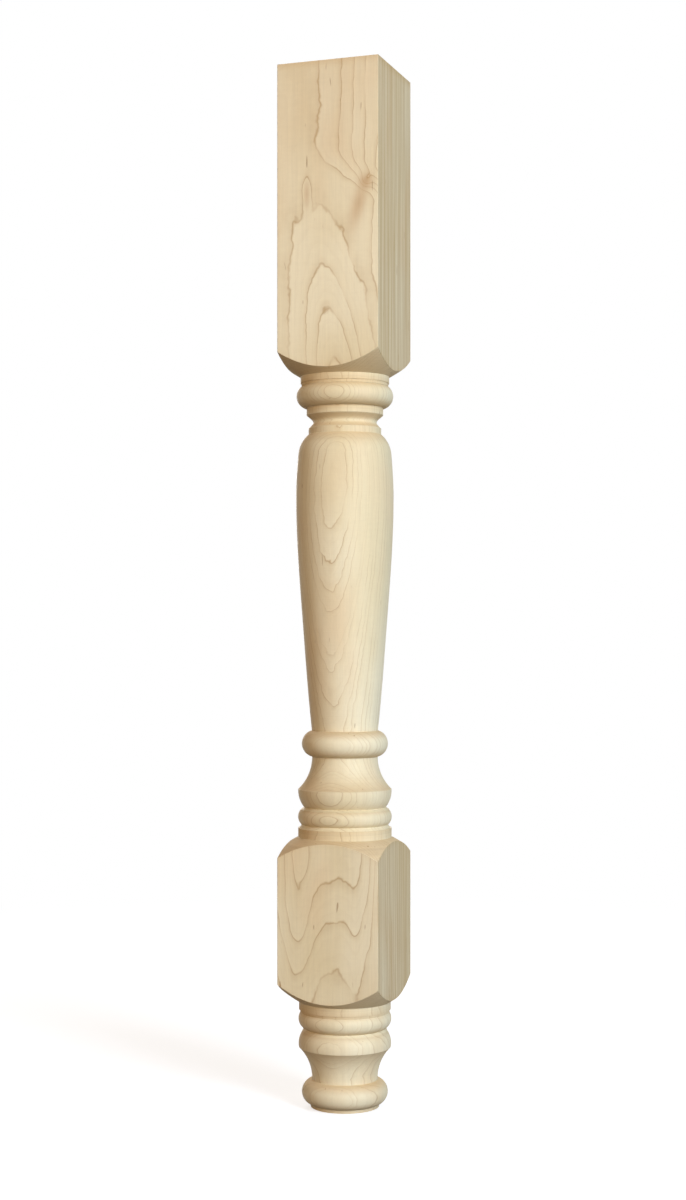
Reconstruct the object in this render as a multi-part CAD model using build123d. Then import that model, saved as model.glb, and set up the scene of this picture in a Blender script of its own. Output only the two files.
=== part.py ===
from build123d import *
from math import atan, atan2, cos, degrees, hypot, radians, sin, sqrt
import os

# Kitchen island post: one length of hard maple, left square where rails and panels are
# fastened and turned on the lathe between the two blocks and below them.
# Millimetres, +Z up, origin at the centre of the face that stands on the floor.

# The squared blank and the lengths along it. The lengths run to a point a little way down
# each shoulder, and the corners of the blocks lie back from it by corner_setback.
post_width = 88.9
foot_length = 103.1875
lower_block_length = 114.3
turned_length = 414.3375
upper_block_length = 244.475
corner_setback = 4.4
arris_radius = 0.5           # long corners broken with fine paper

# Shoulders that bring the square down to the round
shoulder_bulge = 0.9         # how far the shoulder's curve stands out from a straight cone
upper_shoulder_drop = 17.9
middle_shoulder_drop = 15.4
foot_shoulder_drop = 18.2

# Fine lines that the moulding cutter leaves beside beads and bands
quirk_depth = 0.35
lip_height = 1.8

# Head of the long turning, from the upper block down
collar_radius = 37.6
collar_height = 5.4
torus_lip_radius = 36.85
torus_lip_height = 2.5
torus_radius = 41.05
torus_foot_radius = 33.8
torus_height = 18.3
upper_band_radius = 32.5
upper_band_height = 6.1
neck_radius = 26.9
neck_drop = 6.3              # from the band above down to the narrowest place
neck_rise = 5.0              # and on to the band below
lower_band_radius = 30.8
lower_band_height = 5.0

# Vase: a quick roll, the belly, then a long taper that takes what length is left
vase_roll_radius = 39.5
vase_roll_height = 16.8
vase_roll_bulge = 1.9
vase_belly_radius = 41.35
vase_belly_drop = 52.9
vase_middle_radius = 35.45
vase_middle_drop = 163.8
vase_foot_radius = 28.05
vase_foot_slope = 0.11       # radius lost per millimetre where the taper ends

# Foot of the long turning, down to the lower block
ring_radius = 36.55
ring_height = 22.15
bell_waist_radius = 27.85
bell_radius = 39.65
bell_height = 27.6
bell_edge_height = 1.2
bell_return_radius = 34.7
bell_return_height = 14.0
bead_lip_radius = 37.5
bead_radius = 39.75
bead_foot_radius = 36.7
bead_height = 12.95
base_lip_radius = 38.6
base_lip_height = 2.7
base_band_radius = 39.65
base_band_height = 7.8

# Turned foot, from the lower block to the floor
foot_band_radius = 38.95
foot_band_height = 6.8
foot_lip_radius = 37.9
foot_lip_height = 2.3
foot_bead_radius = 39.45
foot_bead_foot_radius = 34.2
foot_bead_height = 14.0
ovolo_lip_radius = 35.9
ovolo_radius = 39.3
ovolo_foot_radius = 39.1
ovolo_height = 13.7
ankle_radius = 27.8
ankle_height = 27.6
toe_radius = 36.5
pad_radius = 29.0
pad_height = 2.5

# How near the arcs' splines keep to them
spline_tolerance = 0.01

# Marks that the lathe's centres leave in the two ends
centre_mark_radius = 2.6
centre_mark_angle = 60

post_height = foot_length + lower_block_length + turned_length + upper_block_length
foot_top = foot_length + corner_setback
block_top = foot_length + lower_block_length - corner_setback
turning_top = post_height - upper_block_length + corner_setback
corner_radius = post_width / sqrt(2) - (sqrt(2) - 1) * arris_radius
blank_radius = corner_radius + 4


def touch_distance(start_gap, end_gap, length):
    # Along a moulding, how far from its start a circle through both ends touches the line
    # that lies start_gap from the first end and end_gap from the second
    a = end_gap - start_gap
    b = 2 * start_gap * length
    c = start_gap * (length**2 + end_gap**2 - start_gap * end_gap)
    return 2 * c / (b + sqrt(b**2 + 4 * a * c))


class Outline:
    # The turned outline, drawn downwards one moulding at a time as (radius, height)
    def __init__(self, radius, height):
        self.radius, self.height = radius, height
        self.edges = []

    def line(self, radius, height):
        self.edges.append(Line((self.radius, self.height), (radius, height)))
        self.radius, self.height = radius, height

    def arc(self, middle_radius, middle_height, radius, height):
        # A true arc, kept as a spline so that the revolved surface stays light
        curve = ThreePointArc((self.radius, self.height),
                              (middle_radius, middle_height), (radius, height))
        self.edges.append(curve.to_splines(degree=4, tolerance=spline_tolerance))
        self.radius, self.height = radius, height

    def band(self, radius, length):
        # A flat fillet: a square step to its radius, then straight down
        if radius != self.radius:
            self.line(radius, self.height)
        self.line(radius, self.height - length)

    def bevel(self, radius, length):
        # A small lip that ends in a fine quirk cut back under its edge
        self.line(radius, self.height - length)
        self.line(radius - quirk_depth, self.height)

    def round(self, reach, radius, length):
        # A bead or a hollow: one arc whose belly or waist just touches the radius reach
        touch = touch_distance(abs(reach - self.radius), abs(reach - radius), length)
        self.arc(reach, self.height - touch, radius, self.height - length)

    def vee(self, waist, drop, radius, rise):
        # A neck cut in from both sides at 45 degrees and rounded where the cuts meet
        start = (self.radius, self.height)
        deep = (waist, self.height - drop)
        end = (radius, self.height - drop - rise)
        self.edges.append(Spline(start, deep, end, tangents=[(-1, -1), (1, -1)]))
        self.radius, self.height = end

    def flare(self, radius, length, leaves_straight=True):
        # An arc that is parallel to the post at one end and sweeps away at the other
        change = radius - self.radius
        size = (change**2 + length**2) / (2 * abs(change))
        half_turn = atan2(length, size - abs(change)) / 2
        out, along = size * (1 - cos(half_turn)), size * sin(half_turn)
        if change < 0:
            out = -out
        if leaves_straight:
            middle = (self.radius + out, self.height - along)
        else:
            middle = (radius - out, self.height - length + along)
        self.arc(*middle, radius, self.height - length)

    def bulged(self, bulge, radius, length):
        # An arc that stands out from its own chord by the given bulge
        change = radius - self.radius
        chord = hypot(change, length)
        out = (length / chord * bulge, change / chord * bulge)
        middle = (self.radius + change / 2 + out[0], self.height - length / 2 + out[1])
        self.arc(*middle, radius, self.height - length)


def shoulder_slope(change, drop):
    # Slope, as length along the post per radius, of a shoulder's curve at the corners
    chord = hypot(change, drop)
    angle = atan2(drop, change) + 2 * atan(2 * shoulder_bulge / chord)
    return sin(angle) / cos(angle)


def draw_long_turning():
    # The stretch between the blocks; both ends run on past the corners into waste
    change = corner_radius - collar_radius
    slope = shoulder_slope(change, upper_shoulder_drop)
    pen = Outline(blank_radius, turning_top + slope * (blank_radius - corner_radius))
    pen.line(corner_radius, turning_top)
    pen.bulged(shoulder_bulge, collar_radius, upper_shoulder_drop)
    pen.band(collar_radius, collar_height)
    pen.band(torus_lip_radius, torus_lip_height)
    pen.line(torus_lip_radius - quirk_depth, pen.height)
    pen.round(torus_radius, torus_foot_radius, torus_height)
    pen.band(upper_band_radius, upper_band_height)
    pen.vee(neck_radius, neck_drop, lower_band_radius, neck_rise)
    pen.band(lower_band_radius, lower_band_height)
    draw_vase(pen)
    pen.round(ring_radius, bell_waist_radius, ring_height)
    pen.flare(bell_radius, bell_height)
    pen.band(bell_radius, bell_edge_height)
    pen.flare(bell_return_radius, bell_return_height)
    pen.bevel(bead_lip_radius, lip_height)
    pen.round(bead_radius, bead_foot_radius, bead_height)
    pen.bevel(base_lip_radius, base_lip_height)
    pen.band(base_band_radius, base_band_height)
    change = corner_radius - base_band_radius
    slope = shoulder_slope(change, middle_shoulder_drop)
    pen.bulged(shoulder_bulge, corner_radius, middle_shoulder_drop)
    pen.line(blank_radius, pen.height - slope * (blank_radius - corner_radius))
    return pen


def vase_foot_height():
    # The taper ends where the ring and the mouldings below it begin
    below = (ring_height + bell_height + bell_edge_height + bell_return_height + lip_height
             + bead_height + base_lip_height + base_band_height + middle_shoulder_drop)
    return block_top + below


def draw_vase(pen):
    top = pen.height
    pen.bulged(vase_roll_bulge, vase_roll_radius, vase_roll_height)
    roll = pen.edges[-1]
    belly = (vase_belly_radius, top - vase_belly_drop)
    middle = (vase_middle_radius, top - vase_middle_drop)
    foot = (vase_foot_radius, vase_foot_height())
    down = (0, -1)
    leave = roll % 1
    pen.edges.append(Spline(roll @ 1, belly, tangents=[(leave.X, leave.Y), down]))
    pen.edges.append(Spline(belly, middle, foot, tangents=[down, (-vase_foot_slope, -1)]))
    pen.radius, pen.height = foot


def draw_foot():
    change = corner_radius - foot_band_radius
    slope = shoulder_slope(change, foot_shoulder_drop)
    pen = Outline(blank_radius, foot_top + slope * (blank_radius - corner_radius))
    pen.line(corner_radius, foot_top)
    pen.bulged(shoulder_bulge, foot_band_radius, foot_shoulder_drop)
    pen.band(foot_band_radius, foot_band_height)
    pen.band(foot_lip_radius, foot_lip_height)
    pen.line(foot_lip_radius - quirk_depth, pen.height)
    pen.round(foot_bead_radius, foot_bead_foot_radius, foot_bead_height)
    pen.bevel(ovolo_lip_radius, lip_height)
    pen.round(ovolo_radius, ovolo_foot_radius, ovolo_height)
    pen.flare(ankle_radius, ankle_height, leaves_straight=False)
    pen.round(toe_radius, pad_radius, pen.height - pad_height)
    pen.band(pad_radius, pad_height)
    return pen


def turned_blank():
    # Both turned stretches joined by the waste that the square takes away again
    upper = draw_long_turning()
    lower = draw_foot()
    top_end = upper.edges[0] @ 0
    block_end = upper.edges[-1] @ 1
    block_start = lower.edges[0] @ 0
    closing = [
        Line((0, post_height), (blank_radius, post_height)),
        Line((blank_radius, post_height), (top_end.X, top_end.Y)),
        Line((block_end.X, block_end.Y), (block_start.X, block_start.Y)),
        Line((pad_radius, 0), (0, 0)),
        Line((0, 0), (0, post_height)),
    ]
    edges = closing[:2] + upper.edges + closing[2:3] + lower.edges + closing[3:]
    return revolve(Plane.XZ * make_face(edges), Axis.Z, 360)


def centre_mark():
    # The cone that a 60 degree centre presses into the end of the blank
    depth = centre_mark_radius / sin(radians(centre_mark_angle / 2)) * cos(radians(
        centre_mark_angle / 2))
    return Cone(centre_mark_radius, 0, depth, align=(Align.CENTER, Align.CENTER, Align.MIN))


def island_post():
    square = extrude(RectangleRounded(post_width, post_width, arris_radius), post_height)
    post = turned_blank() & square
    mark = centre_mark()
    post -= mark
    post -= Pos(0, 0, post_height) * Rot(180, 0, 0) * mark
    return post


os.makedirs("parts", exist_ok=True)
post = island_post()
export_step(post, "parts/island_post.step")
print("height", round(post.bounding_box().size.Z, 4), "volume", round(post.volume / 1e6, 4), "litres")
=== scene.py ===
import math
import bpy
import numpy as np
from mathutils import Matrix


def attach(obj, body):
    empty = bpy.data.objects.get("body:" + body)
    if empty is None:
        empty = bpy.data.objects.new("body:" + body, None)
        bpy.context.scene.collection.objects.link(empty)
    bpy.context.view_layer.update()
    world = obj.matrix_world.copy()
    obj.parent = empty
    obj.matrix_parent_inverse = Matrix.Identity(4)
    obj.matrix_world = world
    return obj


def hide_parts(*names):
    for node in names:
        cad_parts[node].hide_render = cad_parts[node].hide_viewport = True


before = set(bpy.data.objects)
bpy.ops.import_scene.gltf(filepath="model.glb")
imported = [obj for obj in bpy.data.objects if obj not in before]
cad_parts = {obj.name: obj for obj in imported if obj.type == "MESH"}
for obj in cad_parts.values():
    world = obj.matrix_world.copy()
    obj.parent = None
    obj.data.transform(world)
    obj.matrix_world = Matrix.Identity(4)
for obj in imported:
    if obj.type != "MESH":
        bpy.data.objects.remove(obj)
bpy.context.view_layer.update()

# A turned kitchen island post in solid hard maple. Metres in the scene, millimetres in the
# dictionaries, +Z up, the foot's centre on the floor at the origin.

mm = 0.001


# helpers

def hexColor(text):
    # sRGB hex to the linear colour that the shaders work in
    parts = [int(text[i:i + 2], 16) / 255 for i in (1, 3, 5)]
    linear = [c / 12.92 if c <= 0.04045 else ((c + 0.055) / 1.055) ** 2.4 for c in parts]
    return (*linear, 1.0)


def addNode(tree, kind, inputs=None, **settings):
    # One node: settings are its properties. Inputs are values, sockets to link, or nodes
    # whose first output is linked.
    node = tree.nodes.new("ShaderNode" + kind)
    for name, value in settings.items():
        setattr(node, name, value)
    for key, value in (inputs or {}).items():
        if isinstance(value, bpy.types.Node):
            value = value.outputs[0]
        if isinstance(value, bpy.types.NodeSocket):
            tree.links.new(value, node.inputs[key])
        else:
            node.inputs[key].default_value = value
    return node


def freshMaterial(name):
    material = bpy.data.materials.new(name)
    material.use_nodes = True
    material.node_tree.nodes.clear()
    return material, material.node_tree


# the turned outline, from the top down, as radius and height in mm

postSizes = {
    "width": 88.9, "height": 876.3, "arris": 0.5,
    "footTop": 107.5875, "blockTop": 213.0875, "turningTop": 636.225,
    "shoulderBulge": 0.9, "upperDrop": 17.9, "middleDrop": 15.4, "footDrop": 18.2,
    "quirk": 0.35, "lip": 1.8,
    "collar": (37.6, 5.4), "torusLip": (36.85, 2.5),
    "torus": (41.05, 33.8, 18.3), "upperBand": (32.5, 6.1),
    "neck": (26.9, 6.3, 5.0), "lowerBand": (30.8, 5.0),
    "roll": (39.5, 16.8, 1.9), "belly": (41.35, 52.9), "middle": (35.45, 163.8),
    "vaseFoot": (28.05, 0.11), "ring": (36.55, 27.85, 22.15),
    "bell": (39.65, 27.6, 1.2), "bellReturn": (34.7, 14.0),
    "beadLip": 37.5, "bead": (39.75, 36.7, 12.95),
    "baseLip": (38.6, 2.7), "baseBand": (39.65, 7.8),
    "footBand": (38.95, 6.8), "footLip": (37.9, 2.3), "footBead": (39.45, 34.2, 14.0),
    "ovoloLip": 35.9, "ovolo": (39.3, 39.1, 13.7), "ankle": (27.8, 27.6),
    "toe": (36.5, 29.0, 2.5),
    "centreMark": (2.6, 60.0),    # the lathe centre's cone in each end: radius, full angle
    # how fine the mesh is: columns on a flat face and round a corner, steps in mm down the
    # mouldings and the vase, and rows on the shoulders, the two blocks and the two ends
    "faceColumns": 30, "arrisSteps": 4, "rowStep": 1.0, "vaseStep": 3.5,
    "shoulderRows": 13, "upperRows": 20, "lowerRows": 12, "topRows": 5, "padRows": 4,
}


def circleThrough(a, b, c):
    # Centre and radius of the circle through three points
    (ax, ay), (bx, by), (cx, cy) = a, b, c
    d = 2 * (ax * (by - cy) + bx * (cy - ay) + cx * (ay - by))
    sa, sb, sc = ax * ax + ay * ay, bx * bx + by * by, cx * cx + cy * cy
    x = (sa * (by - cy) + sb * (cy - ay) + sc * (ay - by)) / d
    y = (sa * (cx - bx) + sb * (ax - cx) + sc * (bx - ax)) / d
    return x, y, math.hypot(ax - x, ay - y)


def arcPoints(a, b, c, step):
    # The arc from a through b to c: centre plus radius times (cos, sin) of evenly spread angles
    x, y, size = circleThrough(a, b, c)
    start, middle, end = (math.atan2(p[1] - y, p[0] - x) for p in (a, b, c))
    turn = (middle - start + math.pi) % (2 * math.pi) - math.pi
    rest = (end - middle + math.pi) % (2 * math.pi) - math.pi
    count = max(5, math.ceil(abs(turn + rest) * size / step))
    angle = start + (turn + rest) * np.linspace(0, 1, count + 1)
    return np.column_stack((x + size * np.cos(angle), y + size * np.sin(angle)))


def hermite(p, q, tangentP, tangentQ, count):
    # Cubic from p to q that leaves and arrives along the two tangents
    t = np.linspace(0, 1, count + 1)[:, None]
    return ((2 * t**3 - 3 * t**2 + 1) * p + (t**3 - 2 * t**2 + t) * tangentP
            + (-2 * t**3 + 3 * t**2) * q + (t**3 - t**2) * tangentQ)


def smoothThrough(a, b, c, leave, arrive, step):
    # Two cubics with one curvature where they meet at b, clamped to unit tangents at the ends
    a, b, c = (np.array(p, float) for p in (a, b, c))
    first, second = np.linalg.norm(b - a), np.linalg.norm(c - b)
    leave, arrive = (np.array(v, float) / np.linalg.norm(v) for v in (leave, arrive))
    pull = 3 * (b - a) / first**2 + 3 * (c - b) / second**2 - leave / first - arrive / second
    along = pull / (2 / first + 2 / second)
    head = hermite(a, b, leave * first, along * first, math.ceil(first / step))
    tail = hermite(b, c, along * second, arrive * second, math.ceil(second / step))
    return np.vstack((head, tail[1:]))


class Outline:
    # Rows of (radius, height) and which of them are sharp edges
    def __init__(self, radius, height, step):
        self.rows, self.sharp, self.step = [(radius, height)], [True], step

    def at(self):
        return self.rows[-1]

    def follow(self, points):
        # Goes on along the points after the first, to a sharp edge at the last
        self.rows += [tuple(p) for p in points[1:]]
        self.sharp += [False] * (len(points) - 2) + [True]

    def line(self, radius, height):
        self.follow([self.at(), (radius, height)])

    def band(self, radius, length):
        # A square step to the radius, then a cylinder of that length
        if abs(radius - self.at()[0]) > 1e-9:
            self.line(radius, self.at()[1])
        self.line(radius, self.at()[1] - length)

    def bevel(self, radius, length):
        # A straight slope to the radius, then a quirk cut in square to the axis
        self.line(radius, self.at()[1] - length)
        self.line(radius - postSizes["quirk"], self.at()[1])

    def round(self, reach, radius, length):
        # An arc whose belly touches the radius reach between its two ends
        here, height = self.at()
        startGap, endGap = abs(reach - here), abs(reach - radius)
        a, b = endGap - startGap, 2 * startGap * length
        c = startGap * (length**2 + endGap**2 - startGap * endGap)
        touch = 2 * c / (b + math.sqrt(b**2 + 4 * a * c))
        self.follow(arcPoints((here, height), (reach, height - touch),
                              (radius, height - length), self.step))

    def flare(self, radius, length, leavesStraight=True):
        # An arc that runs parallel to the axis at one end and sweeps away at the other
        here, height = self.at()
        change = radius - here
        size = (change**2 + length**2) / (2 * abs(change))
        half = math.atan2(length, size - abs(change)) / 2
        out = math.copysign(size * (1 - math.cos(half)), change)
        along = size * math.sin(half)
        middle = ((here + out, height - along) if leavesStraight
                  else (radius - out, height - length + along))
        self.follow(arcPoints((here, height), middle, (radius, height - length), self.step))

    def bulged(self, bulge, radius, length):
        # An arc that stands out from its chord by bulge
        here, height = self.at()
        change = radius - here
        chord = math.hypot(change, length)
        middle = (here + change / 2 + length / chord * bulge,
                  height - length / 2 + change / chord * bulge)
        self.follow(arcPoints((here, height), middle, (radius, height - length), self.step))


def longTurning(s):
    # From the collar under the upper block to the band above the lower one
    pen = Outline(s["collar"][0], s["turningTop"] - s["upperDrop"], s["rowStep"])
    pen.band(*s["collar"])
    pen.band(*s["torusLip"])
    pen.line(s["torusLip"][0] - s["quirk"], pen.at()[1])
    pen.round(*s["torus"])
    pen.band(*s["upperBand"])
    radius, height = pen.at()
    waist, drop, rise = s["neck"]
    pen.follow(smoothThrough((radius, height), (waist, height - drop),
                             (s["lowerBand"][0], height - drop - rise),
                             (-1, -1), (1, -1), s["rowStep"]))
    pen.band(*s["lowerBand"])
    top = pen.at()[1]
    rollRadius, rollHeight, rollBulge = s["roll"]
    pen.bulged(rollBulge, rollRadius, rollHeight)
    last = np.array(pen.rows[-1])
    pen.sharp[-1] = False
    belly = np.array((s["belly"][0], top - s["belly"][1]))
    gap = np.linalg.norm(belly - last)
    turn = rollEnd(pen)
    pen.follow(hermite(last, belly, turn * gap, np.array((0, -1.0)) * gap,
                       math.ceil(gap / s["vaseStep"])))
    pen.sharp[-1] = False
    below = (s["ring"][2] + s["bell"][1] + s["bell"][2] + s["bellReturn"][1] + s["lip"]
             + s["bead"][2] + s["baseLip"][1] + s["baseBand"][1] + s["middleDrop"])
    foot = (s["vaseFoot"][0], s["blockTop"] + below)
    pen.follow(smoothThrough(belly, (s["middle"][0], top - s["middle"][1]), foot,
                             (0, -1), (-s["vaseFoot"][1], -1), s["vaseStep"]))
    pen.round(*s["ring"])
    pen.flare(*s["bell"][:2])
    pen.band(s["bell"][0], s["bell"][2])
    pen.flare(*s["bellReturn"])
    pen.bevel(s["beadLip"], s["lip"])
    pen.round(*s["bead"])
    pen.bevel(*s["baseLip"])
    pen.band(*s["baseBand"])
    return pen


def rollEnd(pen):
    # Direction in which the vase's roll ends, square to its radius there
    x, y, size = circleThrough(pen.rows[-1], pen.rows[-5], pen.rows[-9])
    direction = np.array((pen.rows[-1][1] - y, x - pen.rows[-1][0])) / size
    return direction if direction[1] < 0 else -direction


def turnedFoot(s):
    # From the band under the lower block down to the pad on the floor
    pen = Outline(s["footBand"][0], s["footTop"] - s["footDrop"], s["rowStep"])
    pen.band(*s["footBand"])
    pen.band(*s["footLip"])
    pen.line(s["footLip"][0] - s["quirk"], pen.at()[1])
    pen.round(*s["footBead"])
    pen.bevel(s["ovoloLip"], s["lip"])
    pen.round(*s["ovolo"])
    pen.flare(*s["ankle"], leavesStraight=False)
    pen.round(s["toe"][0], s["toe"][1], pen.at()[1] - s["toe"][2])
    pen.band(s["toe"][1], s["toe"][2])
    return pen


def shoulderHeight(s, cornerRadius, cornerHeight, endRadius, drop, radius):
    # Height of a shoulder's curve at any radius: the lower or upper half of its circle
    change, length = endRadius - cornerRadius, drop
    chord = math.hypot(change, length)
    bulge = s["shoulderBulge"]
    middle = (cornerRadius + change / 2 + abs(length) / chord * bulge,
              cornerHeight - length / 2 + math.copysign(1, length) * change / chord * bulge)
    x, y, size = circleThrough((cornerRadius, cornerHeight), middle,
                               (endRadius, cornerHeight - length))
    root = np.sqrt(size**2 - (radius - x) ** 2)
    return y - root if length > 0 else y + root


def squareOutline(s):
    # Round the square with eased corners: each column's angle and distance from the axis,
    # and which columns are the edges of an eased corner
    half, ease = s["width"] / 2, s["arris"]
    flat = np.linspace(-(half - ease), half - ease, s["faceColumns"] + 1)
    turn = np.linspace(0, math.pi / 2, s["arrisSteps"] + 1)[1:-1]
    sideX = np.concatenate((np.full(flat.size, half), half - ease + ease * np.cos(turn)))
    sideY = np.concatenate((flat, half - ease + ease * np.sin(turn)))
    edge = np.zeros(sideX.size, bool)
    edge[[0, flat.size - 1]] = True
    quarter = np.arange(4) * math.pi / 2
    x = np.concatenate([sideX * math.cos(q) - sideY * math.sin(q) for q in quarter])
    y = np.concatenate([sideX * math.sin(q) + sideY * math.cos(q) for q in quarter])
    return np.arctan2(y, x), np.hypot(x, y), np.tile(edge, 4)


def buildPost(s):
    # A grid of rows down the post and columns round it. A row is a radius and a height for
    # each column, so that the shoulders can end on the flat faces in true curves.
    angle, square, arrisEdge = squareOutline(s)
    cornerRadius = s["width"] / math.sqrt(2) - (math.sqrt(2) - 1) * s["arris"]
    radii, heights, sharp, arris = [], [], [], []

    def addRow(radius, height, isSharp=False, isArris=False):
        radii.append(np.broadcast_to(radius, angle.shape).astype(float))
        heights.append(np.broadcast_to(height, angle.shape).astype(float))
        sharp.append(isSharp)
        arris.append(isArris)

    def between(count):
        # Evenly spread shares of the way, without its two ends
        return np.linspace(0, 1, count + 2)[1:-1]

    def addShoulder(cornerHeight, endRadius, drop, outwards):
        steps = between(s["shoulderRows"])
        for t in (steps if outwards else steps[::-1]):
            radius = endRadius + (square - endRadius) * t
            addRow(radius, shoulderHeight(s, cornerRadius, cornerHeight, endRadius, drop, radius))

    def addFaces(top, bottom, count):
        for t in np.linspace(0, 1, count):
            addRow(square, top + (bottom - top) * t, t in (0.0, 1.0), True)

    markRadius = s["centreMark"][0]
    markDepth = markRadius / math.tan(math.radians(s["centreMark"][1] / 2))
    tip = 0.02               # share of the cone that its fan of triangles closes
    addRow(markRadius * tip, s["height"] - markDepth * (1 - tip))
    addRow(markRadius, s["height"], True)
    for t in between(s["topRows"]):
        addRow(markRadius + (square - markRadius) * t, s["height"])
    crossUpper = shoulderHeight(s, cornerRadius, s["turningTop"], s["collar"][0], s["upperDrop"],
                                square)
    addFaces(s["height"], crossUpper, s["upperRows"])
    addShoulder(s["turningTop"], s["collar"][0], s["upperDrop"], False)
    turning = longTurning(s)
    for (radius, height), isSharp in zip(turning.rows, turning.sharp):
        addRow(radius, height, isSharp)
    addShoulder(s["blockTop"], s["baseBand"][0], -s["middleDrop"], True)
    crossMiddle = shoulderHeight(s, cornerRadius, s["blockTop"], s["baseBand"][0],
                                 -s["middleDrop"], square)
    crossFoot = shoulderHeight(s, cornerRadius, s["footTop"], s["footBand"][0], s["footDrop"],
                               square)
    addFaces(crossMiddle, crossFoot, s["lowerRows"])
    addShoulder(s["footTop"], s["footBand"][0], s["footDrop"], False)
    foot = turnedFoot(s)
    for (radius, height), isSharp in zip(foot.rows, foot.sharp):
        addRow(radius, height, isSharp)
    for t in between(s["padRows"]):
        addRow(s["toe"][1] + (markRadius - s["toe"][1]) * t, 0.0)
    addRow(markRadius, 0.0, True)
    addRow(markRadius * tip, markDepth * (1 - tip))

    radius, height = np.array(radii), np.array(heights)
    rowCount, columnCount = radius.shape
    x, y = radius * np.cos(angle), radius * np.sin(angle)
    grid = np.stack((x, y, height), axis=-1).reshape(-1, 3) * mm
    top, bottom = len(grid), len(grid) + 1
    points = np.vstack((grid, [(0, 0, (s["height"] - markDepth) * mm), (0, 0, markDepth * mm)]))
    row = np.arange(rowCount - 1)[:, None] * columnCount
    column = np.arange(columnCount)[None, :]
    nextColumn = (column + 1) % columnCount
    quads = np.stack((row + column, row + columnCount + column,
                      row + columnCount + nextColumn, row + nextColumn), -1).reshape(-1, 4)
    last = (rowCount - 1) * columnCount
    ring, nextRing = column[0], nextColumn[0]
    caps = np.vstack((np.column_stack((np.full(columnCount, top), ring, nextRing)),
                      np.column_stack((np.full(columnCount, bottom), last + nextRing,
                                       last + ring))))
    mesh = bpy.data.meshes.new("turnedMaplePost")
    mesh.from_pydata(points, [], quads.tolist() + caps.tolist())
    mesh.polygons.foreach_set("use_smooth", np.ones(len(mesh.polygons), bool))
    markSharp(mesh, rowCount, columnCount, np.array(sharp), np.array(arris), arrisEdge)
    storeGrainMasks(mesh, s)
    mesh.update()
    print("post mesh:", rowCount, "rows,", columnCount, "columns,", len(mesh.polygons), "faces")
    return mesh


def markSharp(mesh, rowCount, columnCount, sharpRow, arrisRow, arrisEdge):
    # Row edges where mouldings meet, and the two edges of every eased corner on the blocks
    pairs = np.empty(len(mesh.edges) * 2, np.int32)
    mesh.edges.foreach_get("vertices", pairs)
    a, b = pairs.reshape(-1, 2).T
    onGrid = (a < rowCount * columnCount) & (b < rowCount * columnCount)
    rowA = np.minimum(a // columnCount, rowCount - 1)
    rowB = np.minimum(b // columnCount, rowCount - 1)
    along = onGrid & (rowA == rowB) & sharpRow[rowA]
    columnA, columnB = a % columnCount, b % columnCount
    down = (onGrid & (columnA == columnB) & arrisEdge[columnA]
            & arrisRow[rowA] & arrisRow[rowB] & (rowA != rowB))
    layer = mesh.attributes.new("sharp_edge", "BOOLEAN", "EDGE")
    layer.data.foreach_set("value", along | down)


def storeGrainMasks(mesh, s):
    # endGrain: how far a place faces along the post, where the fibres are cut across.
    # turned: 1 on what the lathe cut, 0 on the planed faces of the square blocks.
    # planedSide: 1 on the planed faces to the left and right, which get a browner tan that is
    # partly painted shade.
    count = len(mesh.vertices)
    normals, places = np.empty(count * 3, np.float32), np.empty(count * 3, np.float32)
    mesh.vertices.foreach_get("normal", normals)
    mesh.vertices.foreach_get("co", places)
    normals, places = normals.reshape(-1, 3), places.reshape(-1, 3) / mm
    face = s["width"] / 2 - 0.3       # anything further out than this, in mm, was planed
    turned = np.abs(places[:, :2]).max(axis=1) < face
    side = (np.abs(places[:, 0]) > face) & (np.abs(normals[:, 0]) > 0.6)
    for name, values in (("endGrain", np.abs(normals[:, 2])), ("turned", turned),
                         ("planedSide", side)):
        layer = mesh.attributes.new(name, "FLOAT", "POINT")
        layer.data.foreach_set("value", values.astype(np.float32))


# hard maple, turned and planed, sanded and left unfinished

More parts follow.
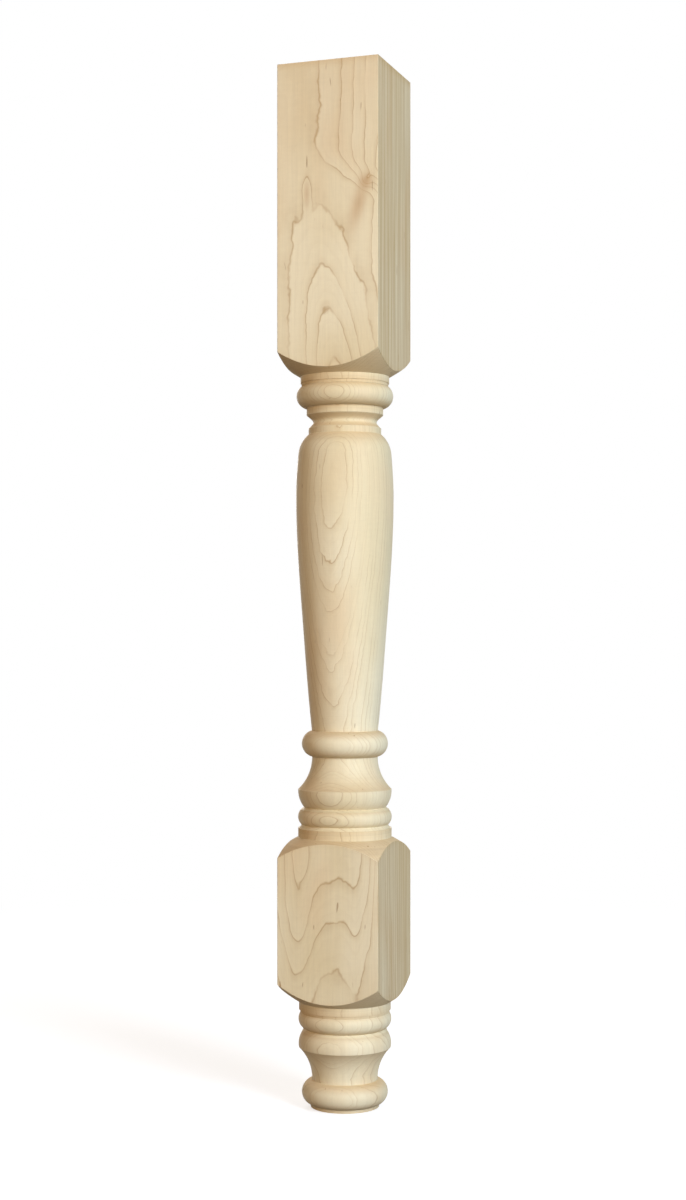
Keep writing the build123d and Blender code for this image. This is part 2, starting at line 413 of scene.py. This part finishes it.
mapleLook = {
    "cream": "#EAE5CD", "tan": "#DED4B4", "pink": "#E0CEAE", "ringLine": "#A98A5C",
    # sideToneAndShade: the left and right faces' browner tan, partly side grain and partly painted
    # shade
    "endTone": "#CBAA78", "fleck": "#8A6238", "stain": "#B48C5E", "sideToneAndShade": "#A88950",
    "roughness": 0.56, "endRoughness": 0.85,  # sanded along the grain, and sawn across it
    "ringSpacing": 2.6,       # mm between growth rings
    "ringStart": -1.55,       # mm, depth at which the rings are counted from
    "yearSway": 5.0,          # mm that a good or poor year can shift a ring by
    # the sheets' curve towards the back: radius across in mm, bow along in mm per square
    # metre, and the height in m at which they run true
    "backRadius": 62.0, "backBow": 92.0, "backTrue": 0.49,
    "frontFull": -42.0, "frontFades": 15.0,  # mm back to front over which the hills fade
    # hills on the ring sheets under the front face: x, z, half width, half height, lean
    # (x per z) and rise, all in mm. They draw the arches over the upper shoulder, the notch
    # above them, the knot, the ovals of the vase and the zigzags of the lower block.
    "hills": [
        (9, 608, 25.5, 108, -0.145, 9), (-18, 768, 3.5, 14, 0, 1.6), (60, 730, 15, 50, 0, 8),
        (-62, 740, 12, 160, 0, 5), (34, 774, 5, 6, 0, 4), (-4, 490, 34, 85, 0, 3.9),
        (0, 332, 45, 34, 0, -1.8), (0, 222, 70, 75, 0, 7.3), (-27, 155, 14, 60, 0, 4.6),
        (25, 145, 7, 90, 0, 1.1), (-54, 215, 9, 30, 0, -5), (50, 200, 10, 60, 0, -8),
        (-24, 221, 9, 22, 0, 2.6),
    ],
    # the long rise along the upper block's front right edge, which ends at the knot
    "edgeRise": (60, 44, 13), "edgeRiseEnds": (776, 808), "edgeRiseSlant": 0.5,
    # brown stain of the knot, of its tail and of the notch, and a broad browning that darkens
    # the front near the top: x, z, half width, half height, lean, strength
    "stains": [(34, 773, 6, 6, 0, 0.55), (27, 754, 6, 20, 0.3, 0.5), (-18, 766, 3, 11, 0, 0.4),
               (-8, 860, 70, 80, 0, 0.17)],
    # a clear cream patch inside the arches: x, z, half width, half height, lean
    "clearing": (-5, 690, 34, 42, 0),
    # cloudy patterns: blotches per metre along x, y and z, detail, roughness, offset. The
    # fibres are 0.7 mm across, drawn coarser than real ones so that they show.
    "clouds": {
        "wideWander": ((7.0, 7.0, 4.0), 1.5, 0.5, (3.1, 0.0, 0.7)),
        "middleWander": ((45.0, 25.0, 28.0), 1.5, 0.5, (0.0, 5.0, 2.0)),
        "fineWander": ((130.0, 80.0, 110.0), 1.5, 0.5, (7.0, 0.0, 0.0)),
        "lineLuck": ((60.0, 60.0, 25.0), 1.0, 0.5, (8.0, 3.0, 6.0)),
        "patches": ((16.0, 16.0, 7.0), 2.0, 0.5, (1.0, 2.0, 3.0)),
        "blush": ((26.0, 26.0, 11.0), 1.5, 0.5, (9.0, 4.0, 1.0)),
        "fibres": ((1500.0, 1500.0, 45.0), 2.0, 0.6, (0.0, 0.0, 0.0)),
        "streaks": ((380.0, 380.0, 9.0), 1.0, 0.5, (2.0, 8.0, 5.0)),
        "ripple": ((120.0, 120.0, 420.0), 1.0, 0.5, (4.0, 4.0, 4.0)),
        "flecks": ((420.0, 420.0, 60.0), 0.0, 0.5, (6.0, 1.0, 8.0)),
        "sideStreaks": ((20.0, 420.0, 5.0), 2.0, 0.6, (2.0, 8.0, 5.0)),
    },
    # how far, in mm, each wander shifts the ring sheets
    "sways": {"wideWander": 1.4, "middleWander": 1.1, "fineWander": 0.6},
    # patterns turned into soft steps: 0 below the first level, 1 above the second
    "steps": {
        "lineLuck": (0.2, 0.58), "boldRings": (15.0, 15.7), "innerLines": (0.55, 0.95),
        "towardsLine": (0.1, 0.95), "patches": (0.35, 0.72), "blush": (0.45, 0.75),
        "flecks": (0.83, 0.87), "sideStreaks": (0.35, 0.65), "cutAcross": (0.25, 0.95),
    },
    # brightness patterns: gain and base
    "shades": {"fibres": (0.10, 0.95), "streaks": (0.10, 0.95), "ripple": (0.05, 0.975)},
}


def mapleMaterial(look):
    # Unfinished sanded maple: a pale matt satin with thin brown growth-ring lines, fine
    # upright fibres and cloudy pinkish and cream patches. The rings are one solid pattern,
    # sheets nearly parallel to the front face, so flat faces show arches, the sides stripes
    # and the turned parts ovals, as in a real blank.
    material, tree = freshMaterial("hardMapleTurnedAndSanded")
    where = addNode(tree, "TexCoord").outputs["Object"]
    x, y, z = addNode(tree, "SeparateXYZ", {"Vector": where}).outputs

    def hill(centreX, centreZ, halfWidth, halfHeight, lean):
        # e to the minus squared distance from the hill's axis, in its own half sizes
        mapped = addNode(tree, "Mapping",
                         {"Vector": where, "Location": (centreX * mm, 0, centreZ * mm),
                          "Rotation": (0, math.atan(lean), 0),
                          "Scale": (halfWidth * mm, 1e4, halfHeight * mm)},
                         vector_type="TEXTURE")
        apart = addNode(tree, "VectorMath", {0: mapped, 1: mapped}, operation="DOT_PRODUCT")
        return addNode(tree, "Math", {0: math.exp(-1), 1: apart.outputs["Value"]},
                       operation="POWER")

    clouds = {}
    for name, (scale, detail, roughness, offset) in look["clouds"].items():
        mapped = addNode(tree, "Mapping",
                         {"Vector": where, "Scale": scale, "Location": offset})
        clouds[name] = addNode(tree, "TexNoise", {"Vector": mapped, "Scale": 1.0,
                                                  "Detail": detail, "Roughness": roughness})
    masks = {name: addNode(tree, "Attribute", attribute_name=name).outputs["Fac"]
             for name in ("endGrain", "turned", "planedSide")}

    # height of the ring sheets under the front: a level sheet with the hills on it
    front = look["ringStart"] * mm
    for *shape, rise in look["hills"]:
        front = addNode(tree, "Math", {0: hill(*shape), 1: rise * mm, 2: front},
                        operation="MULTIPLY_ADD")
    middle, reach, rise = look["edgeRise"]
    start, end = look["edgeRiseEnds"]
    leaning = addNode(tree, "Math", {0: x, 1: look["edgeRiseSlant"], 2: z},
                      operation="MULTIPLY_ADD")
    above = addNode(tree, "MapRange",
                    {"Value": leaning, "From Min": start * mm, "From Max": end * mm},
                    interpolation_type="SMOOTHSTEP")
    edge = addNode(tree, "Math", {0: hill(middle, 0, reach, 1e6, 0), 1: above},
                   operation="MULTIPLY")
    front = addNode(tree, "Math", {0: edge, 1: rise * mm, 2: front}, operation="MULTIPLY_ADD")
    # and towards the back: x squared over twice the radius, plus the bow along the post
    xSquared = addNode(tree, "Math", {0: x, 1: x}, operation="MULTIPLY")
    across = addNode(tree, "Math", {0: xSquared, 1: 2 * look["backRadius"] * mm},
                     operation="DIVIDE")
    fromTrue = addNode(tree, "Math", {0: z, 1: look["backTrue"]}, operation="SUBTRACT")
    bow = addNode(tree, "Math", {0: fromTrue, 1: fromTrue}, operation="MULTIPLY")
    back = addNode(tree, "Math", {0: bow, 1: look["backBow"] * mm, 2: across},
                   operation="MULTIPLY_ADD")
    nearFront = addNode(tree, "MapRange", {"Value": y, "From Min": look["frontFades"] * mm,
                                           "From Max": look["frontFull"] * mm},
                        interpolation_type="SMOOTHSTEP")
    relief = addNode(tree, "Mix", {0: nearFront, 2: back, 3: front}, data_type="FLOAT")
    depth = addNode(tree, "Math", {0: relief, 1: y}, operation="SUBTRACT")

    # the sheets wander, and the finest wander is stronger below the front face than in it
    ragged = addNode(tree, "MapRange", {"Value": y, "From Min": -44.3 * mm,
                                        "From Max": -41 * mm, "To Min": 1.0, "To Max": 2.6})
    for name, sway in look["sways"].items():
        wander = addNode(tree, "Math", {0: clouds[name], 1: 0.5}, operation="SUBTRACT")
        if name == "fineWander":
            wander = addNode(tree, "Math", {0: wander, 1: ragged}, operation="MULTIPLY")
        depth = addNode(tree, "Math", {0: wander, 1: sway * mm, 2: depth},
                        operation="MULTIPLY_ADD")
    # good and poor years, about 4 mm of wood each: below the outermost rings the widths vary
    yearPlace = addNode(tree, "Math", {0: depth, 1: 230.0}, operation="MULTIPLY")
    years = addNode(tree, "TexNoise", {"W": yearPlace, "Scale": 1.0, "Detail": 1.0},
                    noise_dimensions="1D")
    years = addNode(tree, "Math", {0: years, 1: 0.5}, operation="SUBTRACT")
    inside = addNode(tree, "MapRange",
                     {"Value": depth, "From Min": 42 * mm, "From Max": 36 * mm},
                     interpolation_type="SMOOTHSTEP")
    years = addNode(tree, "Math", {0: years, 1: inside}, operation="MULTIPLY")
    depth = addNode(tree, "Math", {0: years, 1: look["yearSway"] * mm, 2: depth},
                    operation="MULTIPLY_ADD")

    # rings counted from the back, the share of the way through one, and a luck for each
    count = addNode(tree, "Math", {0: depth, 1: look["ringSpacing"] * mm}, operation="DIVIDE")
    share = addNode(tree, "Math", {0: count}, operation="FRACT")
    ringNumber = addNode(tree, "Math", {0: count}, operation="FLOOR")
    ringLuck = addNode(tree, "TexWhiteNoise", {"W": ringNumber}, noise_dimensions="1D")
    thirds = addNode(tree, "Math", {0: count, 1: 3.0, 2: 0.2}, operation="MULTIPLY_ADD")
    innerShare = addNode(tree, "Math", {0: thirds}, operation="FRACT")

    # the clearing lowers the tan patches and the blush inside the arches
    clearing = hill(*look["clearing"])
    tanPatches = addNode(tree, "Math", {0: clearing, 1: -0.4, 2: clouds["patches"]},
                         operation="MULTIPLY_ADD")
    blush = addNode(tree, "Math", {0: clearing, 1: -0.3, 2: clouds["blush"]},
                    operation="MULTIPLY_ADD")
    sources = {"lineLuck": clouds["lineLuck"], "boldRings": count, "innerLines": innerShare,
               "towardsLine": share, "patches": tanPatches, "blush": blush,
               "flecks": clouds["flecks"], "sideStreaks": clouds["sideStreaks"],
               "cutAcross": masks["endGrain"]}
    steps = {name: addNode(tree, "MapRange",
                           {"Value": sources[name], "From Min": low, "From Max": high},
                           interpolation_type="SMOOTHSTEP").outputs[0]
             for name, (low, high) in look["steps"].items()}

    # across one ring: clear wood, a soft darkening, the thin brown line, then clear again
    line = addNode(tree, "ValToRGB", {"Fac": share})
    stops = line.color_ramp.elements
    stops[0].position, stops[0].color = 0.0, (0.3, 0.3, 0.3, 1)
    stops[1].position, stops[1].color = 1.0, (0.45, 0.45, 0.45, 1)
    for place, level in ((0.035, 0.0), (0.7, 0.0), (0.93, 0.22), (0.972, 1.0)):
        stops.new(place).color = (level, level, level, 1)
    # some rings are bold and some faint, but all that reach the front faces are bold
    strength = addNode(tree, "Math", {0: ringLuck, 1: 0.75, 2: 0.22}, operation="MULTIPLY_ADD")
    bold = addNode(tree, "Math", {0: steps["boldRings"], 1: 0.85}, operation="MULTIPLY")
    strength = addNode(tree, "Math", {0: strength, 1: bold}, operation="MAXIMUM")
    ringLine = addNode(tree, "Math", {0: line, 1: strength}, operation="MULTIPLY")
    ringLine = addNode(tree, "Math", {0: ringLine, 1: steps["lineLuck"]}, operation="MULTIPLY")

    # the cutter's fine rings, about 1 mm apart, counted along height plus distance from the
    # axis, so that they also ring the shoulders
    ySquared = addNode(tree, "Math", {0: y, 1: y}, operation="MULTIPLY")
    fromAxis = addNode(tree, "Math", {0: xSquared, 1: ySquared}, operation="ADD")
    fromAxis = addNode(tree, "Math", {0: fromAxis}, operation="SQRT")
    toolPlace = addNode(tree, "Math", {0: z, 1: fromAxis}, operation="ADD")
    toolPlace = addNode(tree, "Math", {0: toolPlace, 1: 900.0}, operation="MULTIPLY")
    toolRings = addNode(tree, "TexNoise", {"W": toolPlace, "Scale": 1.0, "Detail": 1.0},
                        noise_dimensions="1D")
    toolShade = addNode(tree, "Math", {0: toolRings, 1: steps["cutAcross"]},
                        operation="MULTIPLY")
    base = addNode(tree, "Math", {0: steps["cutAcross"], 1: 0.15, 2: 1.0},
                   operation="MULTIPLY_ADD")
    shade = addNode(tree, "Math", {0: toolShade, 1: -0.3, 2: base}, operation="MULTIPLY_ADD")
    for name, (gain, level) in look["shades"].items():
        part = addNode(tree, "Math", {0: clouds[name], 1: gain, 2: level},
                       operation="MULTIPLY_ADD")
        shade = addNode(tree, "Math", {0: shade, 1: part}, operation="MULTIPLY")
    # painted shade: the browner tan over the left and right faces, at a third or more everywhere
    # on them, is partly their side grain and partly the shade these faces are in
    sideStreaksAndShade = addNode(tree, "Math", {0: steps["sideStreaks"], 1: 0.34, 2: 0.34},
                         operation="MULTIPLY_ADD")

    # colour in layers on the cream: a pattern, how much of it, the tone. Cut across, the
    # fibres drink in light, so end grain is browner; the planed sides, cut square to the
    # rings, are a browner tan with upright streaks, partly their grain and partly painted
    # shade on these faces; the flecks are short and dark.
    layers = [(steps["patches"], 1.0, "tan"), (steps["blush"], 0.6, "pink"),
              (steps["towardsLine"], 0.2, "tan"), (steps["innerLines"], 0.035, "ringLine"),
              (ringLine, 0.8, "ringLine")]
    for *shape, amount in look["stains"]:
        spot = addNode(tree, "Math", {0: hill(*shape), 1: nearFront}, operation="MULTIPLY")
        layers.append((spot, amount, "stain"))
    layers += [(shade, None, "shade"), (steps["flecks"], 0.55, "fleck"),
               (steps["cutAcross"], 0.5, "endTone"), (masks["planedSide"], sideStreaksAndShade, "sideToneAndShade")]
    color = hexColor(look["cream"])
    for pattern, amount, tone in layers:
        if tone == "shade":
            color = addNode(tree, "Mix", {0: 1.0, 6: color, 7: pattern}, data_type="RGBA",
                            blend_type="MULTIPLY").outputs[2]
            continue
        amount = addNode(tree, "Math", {0: pattern, 1: amount}, operation="MULTIPLY")
        color = addNode(tree, "Mix", {0: amount, 6: color, 7: hexColor(look[tone])},
                        data_type="RGBA").outputs[2]

    # bumps: fibres everywhere, and on the turned parts the cutter's rings
    turnedRings = addNode(tree, "Math", {0: toolRings, 1: masks["turned"]},
                          operation="MULTIPLY")
    height = addNode(tree, "Math", {0: turnedRings, 1: 0.7, 2: clouds["fibres"]},
                     operation="MULTIPLY_ADD")
    bump = addNode(tree, "Bump", {"Height": height, "Strength": 0.25, "Distance": 0.0002})
    roughness = addNode(tree, "Math", {0: steps["cutAcross"],
                                       1: look["endRoughness"] - look["roughness"],
                                       2: look["roughness"]}, operation="MULTIPLY_ADD")
    surface = addNode(tree, "BsdfPrincipled",
                      {"Base Color": color, "Roughness": roughness, "IOR": 1.5,
                       "Specular IOR Level": 0.35, "Normal": bump})
    addNode(tree, "OutputMaterial", {"Surface": surface})
    print("maple mixed:", len(tree.nodes), "nodes")
    return material


def placePost():
    post = bpy.data.objects.new("turnedMaplePost", buildPost(postSizes))
    bpy.context.scene.collection.objects.link(post)
    post.data.materials.append(mapleMaterial(mapleLook))
    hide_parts("island_post")
    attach(post, "root")
    print("post placed")


# studio: a pale floor, cool key from the right, warm fill from the front, white beyond

studioSettings = {
    "floorRadius": 14.0, "floorDrop": 0.3, "rimPoints": 64,
    "whiteFrom": 0.35, "whiteTo": 1.3,   # metres from the post over which paper turns white
    "floorColor": "#E3EAF6", "bounceColor": "#77716A",
    "floorGlow": 0.70, "floorShare": 0.75,
    "worldColor": "#FFCF9C", "worldStrength": 0.09,
    "lampTarget": (0, 0, 0.44),
    # azimuth, elevation, distance, width, height, watts and colour of each softbox;
    # azimuth 0 stands before the front face, 90 before the right one
    "softboxes": {
        "keySoftbox": (55.0, 15.0, 2.8, 0.9, 1.9, 79.0, "#F0F8FF"),
        "warmFill": (-4.0, 14.0, 2.8, 1.0, 1.6, 28.0, "#FFD3A0"),
        "backFill": (206.0, 18.0, 2.8, 1.2, 1.6, 46.0, "#FFF6EA"),
    },
}


def buildFloor(s):
    # A disc: points at the floor's radius times (cos, sin), a hair (floorDrop, mm) below
    # the foot so that the two faces don't lie in one plane
    count = s["rimPoints"]
    turn = np.linspace(0, 2 * math.pi, count + 1)[:-1]
    rim = np.column_stack((np.cos(turn) * s["floorRadius"], np.sin(turn) * s["floorRadius"],
                           np.full(count, -s["floorDrop"] * mm)))
    mesh = bpy.data.meshes.new("studioFloor")
    mesh.from_pydata(rim, [], [list(range(count))])
    floor = bpy.data.objects.new("studioFloor", mesh)
    bpy.context.scene.collection.objects.link(floor)
    material, tree = freshMaterial("matWhitePaper")  # matt, so it only takes a soft shadow
    where = addNode(tree, "TexCoord").outputs["Object"]
    away = addNode(tree, "VectorMath", {0: where}, operation="LENGTH").outputs["Value"]
    far = addNode(tree, "MapRange",
                  {"Value": away, "From Min": s["whiteFrom"], "From Max": s["whiteTo"],
                   "To Min": 0.0, "To Max": 1.0},
                  interpolation_type="SMOOTHSTEP").outputs[0]
    # to the eye the paper glows by floorGlow and reflects by floorShare, so that it is just
    # white in the light and greys only where the post shades it
    dark = addNode(tree, "Emission", {"Color": (0, 0, 0, 1)})
    paper = addNode(tree, "BsdfDiffuse", {"Color": hexColor(s["floorColor"])})
    paper = addNode(tree, "MixShader",
                    {0: s["floorShare"], 1: dark.outputs[0], 2: paper.outputs[0]})
    glow = addNode(tree, "Emission",
                   {"Color": (1, 1, 1, 1), "Strength": s["floorGlow"]})
    paper = addNode(tree, "AddShader", {0: paper.outputs[0], 1: glow.outputs[0]})
    white = addNode(tree, "Emission", {"Color": (1, 1, 1, 1), "Strength": 1.0})
    seen = addNode(tree, "MixShader",
                   {0: far, 1: paper.outputs[0], 2: white.outputs[0]})
    bounce = addNode(tree, "BsdfDiffuse", {"Color": hexColor(s["bounceColor"])})
    rays = addNode(tree, "LightPath")
    direct = addNode(tree, "Math", {0: rays.outputs["Is Camera Ray"],
                                              1: rays.outputs["Is Glossy Ray"]},
                     operation="MAXIMUM")
    surface = addNode(tree, "MixShader",
                      {0: direct.outputs[0], 1: bounce.outputs[0], 2: seen.outputs[0]})
    addNode(tree, "OutputMaterial", {"Surface": surface.outputs[0]})
    floor.data.materials.append(material)
    print("floor laid")


def buildWorld(s):
    # The eye and reflections meet white; what lights the post is dim and warm
    world = bpy.data.worlds.new("studioWhite")
    bpy.context.scene.world = world
    world.use_nodes = True
    tree = world.node_tree
    tree.nodes.clear()
    rays = addNode(tree, "LightPath")
    seen = addNode(tree, "Math", {0: rays.outputs["Is Camera Ray"],
                                            1: rays.outputs["Is Glossy Ray"]},
                   operation="MAXIMUM")
    seen = addNode(tree, "Math", {0: seen.outputs[0],
                                            1: rays.outputs["Is Transmission Ray"]},
                   operation="MAXIMUM")
    room = addNode(tree, "Background",
                   {"Color": hexColor(s["worldColor"]), "Strength": s["worldStrength"]})
    white = addNode(tree, "Background", {"Color": (1, 1, 1, 1), "Strength": 1.0})
    sky = addNode(tree, "MixShader",
                  {0: seen.outputs[0], 1: room.outputs[0], 2: white.outputs[0]})
    addNode(tree, "OutputWorld", {"Surface": sky.outputs[0]})
    print("world lit")


def aimFrom(azimuth, elevation, distance, target):
    # Place and rotation of something that looks at target from the given direction
    a, e = math.radians(azimuth), math.radians(elevation)
    place = (target[0] + distance * math.sin(a) * math.cos(e),
             target[1] - distance * math.cos(a) * math.cos(e),
             target[2] + distance * math.sin(e))
    return place, (math.pi / 2 - e, 0, a)


def buildLights(s):
    # Rectangular softboxes, all aimed at the middle of the post
    for name, box in s["softboxes"].items():
        azimuth, elevation, distance, width, height, power, color = box
        lamp = bpy.data.lights.new(name, "AREA")
        lamp.shape, lamp.size, lamp.size_y, lamp.energy = "RECTANGLE", width, height, power
        lamp.color = hexColor(color)[:3]
        softbox = bpy.data.objects.new(name, lamp)
        softbox.location, softbox.rotation_euler = aimFrom(azimuth, elevation, distance,
                                                           s["lampTarget"])
        bpy.context.scene.collection.objects.link(softbox)
        print("softbox hung:", name)


# camera: level, just below the post's middle, a little to the right of its front face

cameraSettings = {
    "azimuth": 19.34, "distance": 1.6594, "eyeHeight": 0.4032,
    "focalPixels": 1953.5, "imageHeight": 1200, "imageWidth": 686,
    "axisPixel": 344.9, "horizonPixel": 630.8, "film": 36.0,
}


def buildCamera(s):
    # Focal length from pixels: the film's width stands for the picture's long side
    data = bpy.data.cameras.new("viewCamera")
    data.sensor_width = s["film"]
    data.lens = s["film"] * s["focalPixels"] / s["imageHeight"]
    data.shift_x = (s["imageWidth"] / 2 - s["axisPixel"]) / s["imageHeight"]
    data.shift_y = (s["horizonPixel"] - s["imageHeight"] / 2) / s["imageHeight"]
    camera = bpy.data.objects.new("viewCamera", data)
    camera.location, camera.rotation_euler = aimFrom(s["azimuth"], 0, s["distance"],
                                                     (0, 0, s["eyeHeight"]))
    bpy.context.scene.collection.objects.link(camera)
    bpy.context.scene.camera = camera
    print("camera set")


placePost()
buildFloor(studioSettings)
buildWorld(studioSettings)
buildLights(studioSettings)
buildCamera(cameraSettings)
bpy.context.scene.view_settings.view_transform = "Standard"
